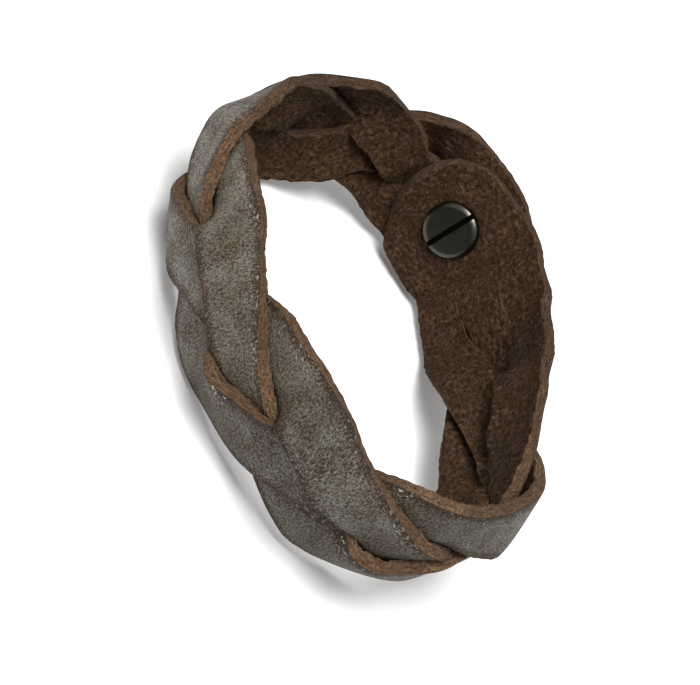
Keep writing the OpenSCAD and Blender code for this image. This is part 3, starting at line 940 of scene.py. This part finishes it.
suede, t = new_material("napped_flesh_side_suede")
where = add(t, "UVMap", {"uv_map": "leather_cm"})
sway = add(t, "TexNoise", {}, 1, Vector=where, Scale=SWAY_PER_CM, Detail=2.0)
sway = add(t, "VectorMath", {"operation": "SCALE"}, i0=sway, Scale=SWAY_CM)
bent = add(t, "VectorMath", PLUS, i0=where, i1=sway)
lie_one = fibres(t, bent, 0.5, FIBRE_PER_CM, 0.0)
lie_two = fibres(t, bent, -0.9, FIBRE_PER_CM * 1.2, 7.0)
clump = add(t, "TexNoise", Vector=where, Scale=CLUMP_PER_CM, Detail=4.0, Roughness=0.66)
felt = add(t, "Mix", BETWEEN, Factor=0.5, A=lie_one, B=lie_two)
felt = add(t, "Mix", BETWEEN, Factor=0.5, A=felt, B=clump)
hand = add(t, "TexNoise", Vector=where, Scale=HAND_PER_CM, Detail=3.0, Roughness=0.5)
# Painted highlight and painted shade: the colour follows the relief's noise, light on tips, nearly black in
# pits
colour = add(t, "ValToRGB", {"stops": [
    (0.36, "#120d08"), (0.45, "#2a1e14"), (0.52, "#412f20"), (0.60, "#5a4530"), (0.70, "#7d664d")]},
    Fac=felt)
colour = add(t, "Mix", COVER, 2, Factor=add(
    t, "ValToRGB", {"stops": [(0.36, 0.0), (0.64, 0.5)]}, Fac=hand), A=colour, B=linear("#241911"))
relief = add(t, "Bump", Strength=1.0, Distance=FLESH_RELIEF * MM, Height=felt)
add(t, "OutputMaterial", Surface=add(t, "BsdfPrincipled", Base_Color=colour, Roughness=1.0,
                                     Specular_IOR_Level=0.08, Normal=relief))
for side_skin in (foil, cut, suede):
    strap.data.materials.append(side_skin)
print("clumps of the nap, mm apart:", round(10 / CLUMP_PER_CM, 2))

# %% [markdown]
# ## Blackened brass
# The screw and its post were turned from brass and plated gunmetal black. The flat face kept fine
# turning rings about 0.1 mm apart, drawn 0.2 mm apart so that they show. The shoulder is rubbed
# bright by wear, and the deep part of the slot is painted nearly black as painted shade.

# %% Blackened brass
WIPE_PER_M, GRIT_PER_M, RING_MM, METAL_RELIEF = 1100.0, 5000.0, 0.2244, 0.02
plated, t = new_material("gunmetal_plated_turned_brass")
local = add(t, "TexCoord", {}, 3)
from_axis = add(t, "Attribute", {"attribute_name": "from_axis_mm"}, 2)
sunk_mm = add(t, "Attribute", {"attribute_name": "sunk_mm"}, 2)
wipe = add(t, "TexNoise", Vector=local, Scale=WIPE_PER_M, Detail=4.0, Roughness=0.6)
grit = add(t, "TexNoise", Vector=local, Scale=GRIT_PER_M, Detail=2.0, Roughness=0.5)
rubbed = add(t, "ValToRGB", {"stops": [(0.80, 0.0), (0.86, 0.8), (0.97, 1.0), (1.0, 0.5)]},
             Fac=add(t, "Math", {"operation": "DIVIDE"}, i0=from_axis, i1=head_d / 2))
rubbed = add(t, "Math", TIMES, i0=rubbed, i1=add(
    t, "MapRange", Value=wipe, i1=0.3, i2=0.7, i3=0.75, i4=1.0))
# Painted shade: nearly black in the deep part of the slot, which is also made rougher
slot_painted_shade = add(t, "MapRange", Value=sunk_mm, i1=0.42, i2=0.62, i3=0.0, i4=1.0)
colour = add(t, "Mix", COVER, 2, Factor=wipe, A=linear("#292a26"), B=linear("#353530"))
colour = add(t, "Mix", COVER, 2, Factor=rubbed, A=colour, B=linear("#4f4e47"))
colour = add(t, "Mix", COVER, 2, Factor=slot_painted_shade, A=colour, B=linear("#0c0b09"))
rough = add(t, "MapRange", Value=rubbed, i1=0.0, i2=1.0, i3=0.42, i4=0.24)
rough = add(t, "Math", PLUS, i0=rough, i1=add(t, "Math", TIMES, i0=slot_painted_shade, i1=0.4))
rings = add(t, "Math", {"operation": "SINE"}, i0=add(
    t, "Math", TIMES, i0=from_axis, i1=2 * math.pi / RING_MM))
height = add(t, "Math", PLUS, i0=grit, i1=add(t, "Math", TIMES, i0=rings, i1=0.12))
relief = add(t, "Bump", Strength=0.5, Distance=METAL_RELIEF * MM, Height=height)
add(t, "OutputMaterial", Surface=add(t, "BsdfPrincipled", Base_Color=colour, Roughness=rough,
                                     Metallic=1.0, Normal=relief))
for piece in (screw, post):
    piece.data.materials.clear()
    piece.data.materials.append(plated)
    piece.data.polygons.foreach_set("material_index", np.zeros(len(piece.data.polygons), np.int32))
print("turning rings, mm apart:", round(RING_MM, 2))

# %% [markdown]
# ## Pieces take the model's places
# Each finished piece stands in for one solid of the model and rides on the same body.

# %% Pieces take the model's places
for piece, cad_node, slot_name in ((strap, "braided_strap", "leather"),
                                   (screw, "slotted_screw", "screw_metal"),
                                   (post, "screw_post", "screw_metal")):
    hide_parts(cad_node)
    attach(piece, "root")
    print(piece.name, "stands in for", cad_node)

# %% [markdown]
# ## Floor and light
# A plain pale floor, a big soft light over the camera's shoulder and a weaker one from the left.

# %% Floor
FLOOR_HALF = 3.0
corners = [(x * FLOOR_HALF, y * FLOOR_HALF, 0.0) for x, y in ((-1, -1), (1, -1), (1, 1), (-1, 1))]
floor_mesh = bpy.data.meshes.new("floor")
floor_mesh.from_pydata(corners, [], [(0, 1, 2, 3)])
floor = in_scene("floor", floor_mesh)
paper, t = new_material("matt_white_paper")
add(t, "OutputMaterial", Surface=add(t, "BsdfPrincipled", Base_Color=linear("#f2f2f2"), Roughness=0.9))
floor_mesh.materials.append(paper)
print("floor, m wide:", 2 * FLOOR_HALF)


# %% Lights and world
def soft_light(name, way, away, size, watts):
    """A square soft light that looks at the bracelet's middle from a direction."""
    data = bpy.data.lights.new(name, "AREA")
    data.size, data.energy = size, watts
    z = np.array(way) / np.linalg.norm(way)
    x = np.cross([0.0, 0.0, 1.0], z)
    x /= np.linalg.norm(x)
    lamp = in_scene(name, data)
    lamp.matrix_world = turned_to(x, np.cross(z, x), z, z * away)
    return lamp


WORLD_BRIGHT = 0.55
window = soft_light("window", 0.45 * picture_x + 0.4 * picture_y + 0.85 * back, 0.7, 0.4, 7.5)
reflector = soft_light("reflector", -0.7 * picture_x + 0.3 * picture_y + 0.9 * back, 0.8, 0.6, 0.7)
world = bpy.data.worlds.new("studio")
bpy.context.scene.world = world
world.use_nodes = True
world.node_tree.nodes["Background"].inputs["Color"].default_value = (1.0, 1.0, 1.0, 1.0)
world.node_tree.nodes["Background"].inputs["Strength"].default_value = WORLD_BRIGHT
bpy.context.scene.view_settings.view_transform = "Standard"
print("lights:", window.name, reflector.name)
